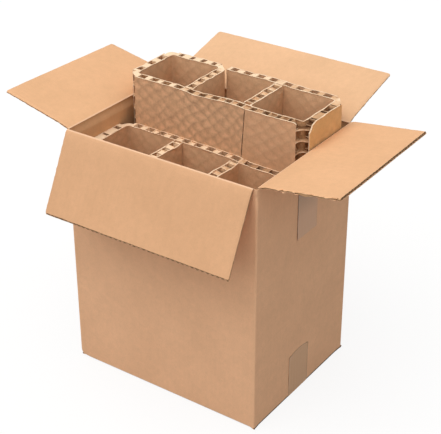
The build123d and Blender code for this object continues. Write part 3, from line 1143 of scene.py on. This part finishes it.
# Near-black edge for the ends of the bottom flaps: painted shadow in the recess along the foot
foot_shadow_edge = cut_paper("foot_painted_shadow", (0.13, 0.075, 0.042), (0.06, 0.033, 0.018))
flute_sheet = core_sheet("flute_paper", (0.44, 0.26, 0.13), (0.32, 0.18, 0.09))
clear_lattice = comb_liner_paper("comb_liner", (0.74, 0.445, 0.262), (0.62, 0.37, 0.212), 0.27)
faint_lattice = comb_liner_paper("comb_liner_plain", (0.72, 0.43, 0.252), (0.64, 0.38, 0.218), 0.1)
cell_liner = comb_liner_paper("comb_liner_cell", (0.79, 0.49, 0.286), (0.70, 0.433, 0.248), 0.08)
end_lattice = comb_liner_paper("comb_liner_end", (0.77, 0.465, 0.215), (0.69, 0.415, 0.185), 0.05)
comb_edge = cut_paper("comb_edge", (0.95, 0.745, 0.54), (0.74, 0.50, 0.32))
comb_core_edge = cut_paper("comb_core_edge", (0.92, 0.69, 0.48), (0.62, 0.38, 0.215))
# The inner liner's side toward the core: glue-stained brown, darkened further as painted shade in the
# hollows of the opened folds
glued_shaded_liner = cut_paper("comb_glued_shaded", (0.60, 0.35, 0.185), (0.34, 0.175, 0.08))
# Both tapes' darkened sides and ends are painted shadow
tan_tape = tape_film("tan_tape", (0.585, 0.32, 0.152), (0.61, 0.345, 0.17), (0.15, 0.5), 0.55)
clear_tape = tape_film(
    "clear_tape", (0.42, 0.245, 0.132), (0.44, 0.28, 0.165), (0.75, 0.0), 0.0, clear_tape_from,
)

rear = Insert("rear", 1)
front = Insert("front", -1)
rear_crumples = (
    (-rear.divider, comb_board + 12 * mm, 13, 2.2, 1.5),
    (-rear.divider + 22 * mm, 4 * mm, 24, 0.8, 2.6),
    (-rear.divider, rear.depth - comb_board, 10, 1.6, 1.0),
    (rear.divider, rear.depth - comb_board - 8 * mm, 13, 2.2, 1.3),
    (rear.right - 8 * mm, 40 * mm, 16, 1.4, 0.8),
)
front_crumples = (
    (-front.divider + 4 * mm, 24 * mm, 12, 2.4, 1.4),
    (front.divider, 30 * mm, 12, 1.6, 1.0),
)
rear_warp = crumpled(rear, (0.5 * mm, -0.1 * mm, -2.3 * mm), rear_crumples, 2.3 * mm, 0.07)
front_warp = crumpled(front, (4.2 * mm, 0.7 * mm, -3.8 * mm), front_crumples, 1.5 * mm, 0.0)

# For each strip its seed and, in mm for each of its panels, the depth of the first flats under the
# cut at its start, middle and end, the lean of every other level and the length of the flats
strips = (
    (rear, "left", rear_warp, 3, (
        (0.4, 1.2, 3.0, -3.0, 8.0), (0.6, 0.3, 0.6, 1.5, 11.0),
        (0.6, 0.5, 0.8, 0.0, 11.0), (0.8, 1.6, 0.6, -2.0, 9.0),
    )),
    (rear, "right", rear_warp, 19, (
        (3.0, 3.5, 9.0, -3.0, 8.0), (6.0, 0.0, 0.3, 1.0, 19.0),
        (1.0, 0.6, 0.8, 0.0, 10.0), (4.0, 2.0, 0.8, -2.0, 9.0),
    )),
    (front, "left", front_warp, 37, (
        (0.8, 2.6, 0.8, -2.5, 8.0), (0.3, 0.4, 0.4, 1.5, 19.0),
        (0.8, 1.2, 0.8, 0.0, 9.0), (1.0, 2.0, 2.0, -2.0, 9.0),
    )),
    (front, "right", front_warp, 53, (
        (0.8, 2.0, 1.2, -2.5, 8.0), (1.2, 0.6, 0.8, 1.0, 11.0),
        (0.8, 1.4, 0.8, 0.0, 9.0), (1.4, 2.2, 0.8, -2.0, 9.0),
    )),
)
for insert, end, warp, seed, rows in strips:
    cells = [tuple(value * mm for value in row) for row in rows]
    layout = left_strip(insert, cells) if end == "left" else right_strip(insert, cells)
    face = clear_lattice if end == "left" else faint_lattice
    core = comb_core_sheet(f"comb_core_{insert.row}", insert.top)
    materials = [face, comb_edge, core, comb_core_edge, end_lattice, glued_shaded_liner, cell_liner]
    build_strip(insert, end, layout, warp, seed, materials)

# Where the inner liner starts, in mm: it clears the wall when the front flap closes flat, and forms
# a lip over the crease on the flaps that only stand up
closing_crease = ((0.2, 0.3), (0.6, 0.9), (1.2, 1.4), (2.5, 1.9), (5, 2.6), (10, 3.3), (16, 3.65))
lipped_crease = ((-2.0, 0.75), (-1.6, 1.15), (-0.8, 1.35), (1, 1.6), (4, 2.2), (9, 3.0), (16, 3.6))
flap_materials = [liner_flap, board_edge, flute_sheet, board_edge, liner_outside]
# The front flap takes the darker copies of the flap liner and board edge, painted shade
flap(
    "front", (0, -1, 0), -58.0, closing_crease, ((0, 0, 0), (0, 5, 0), (0, -5.2, -3.6), (0, -3, 0)),
    (0.6, 0.6), 2.4, [front_flap_shaded_liner, shaded_board_edge, flute_sheet, shaded_board_edge, liner_outside],
)
flap(
    "back", (0, 1, 0), 15.0, lipped_crease, ((0, 2, 0), (0, 2.2, 0), (0, 2, 0), (0, 2.4, 0)),
    (0.6, 0.6), 0.9, [liner_pale] + flap_materials[1:],
)
flap(
    "left", (-1, 0, 0), 11.5, lipped_crease, ((0, -5, 0), (0, 0, 0), (0, -1.5, 0), (-5, 0, 0)),
    (0.8, 0.6), 0.9, flap_materials,
)
flap(
    "right", (1, 0, 0), 8.5, lipped_crease,
    ((0, -5, 0.4), (0, 1.9, 0), (-2.2, 0, 0.5), (-1.5, 1.9, 0)), (0.7, 3.6), 0.9, flap_materials,
)

build_carton([liner_wall, board_edge, liner_inside_shaded, foot_shadow_edge])
build_tapes(tan_tape, clear_tape)
pad_materials = frame["nodes"]["bottom_pad"].data.materials
pad_materials.clear()
pad_materials.append(core_sheet("pad_core", comb_tan, comb_brown))

build_stage()
build_camera()
bpy.context.scene.view_settings.view_transform = "Standard"
